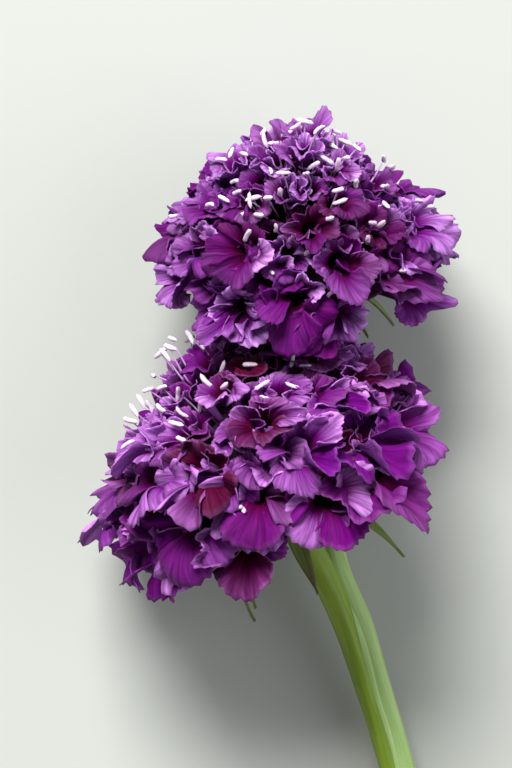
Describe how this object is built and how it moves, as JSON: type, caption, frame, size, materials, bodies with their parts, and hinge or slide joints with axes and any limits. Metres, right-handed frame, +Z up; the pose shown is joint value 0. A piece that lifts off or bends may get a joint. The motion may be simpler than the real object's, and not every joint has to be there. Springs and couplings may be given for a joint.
{
  "type": "scabiosa flower",
  "caption": "Cut scabiosa lying down: twin domed heads of ruffled purple florets with narrow green bracts, on one ridged stalk that forks below them.",
  "frame": {"origin": "Middle of the part's bounding box in X and Y, on the surface that it lies on.", "axes": "+Z points up off the surface, to the side that the heads face. +Y runs from the stalk's cut end towards the heads. +X is to the right, with the heads away from the viewer."},
  "size_m": [0.0604, 0.1442, 0.043],
  "materials": {
    "petal": "matt, soft and finely veined",
    "green": "satin, lightly haired"
  },
  "bodies": {
    "root": {"lower_head": "petal", "upper_head": "petal", "stalk": "green"}
  },
  "joints": []
}
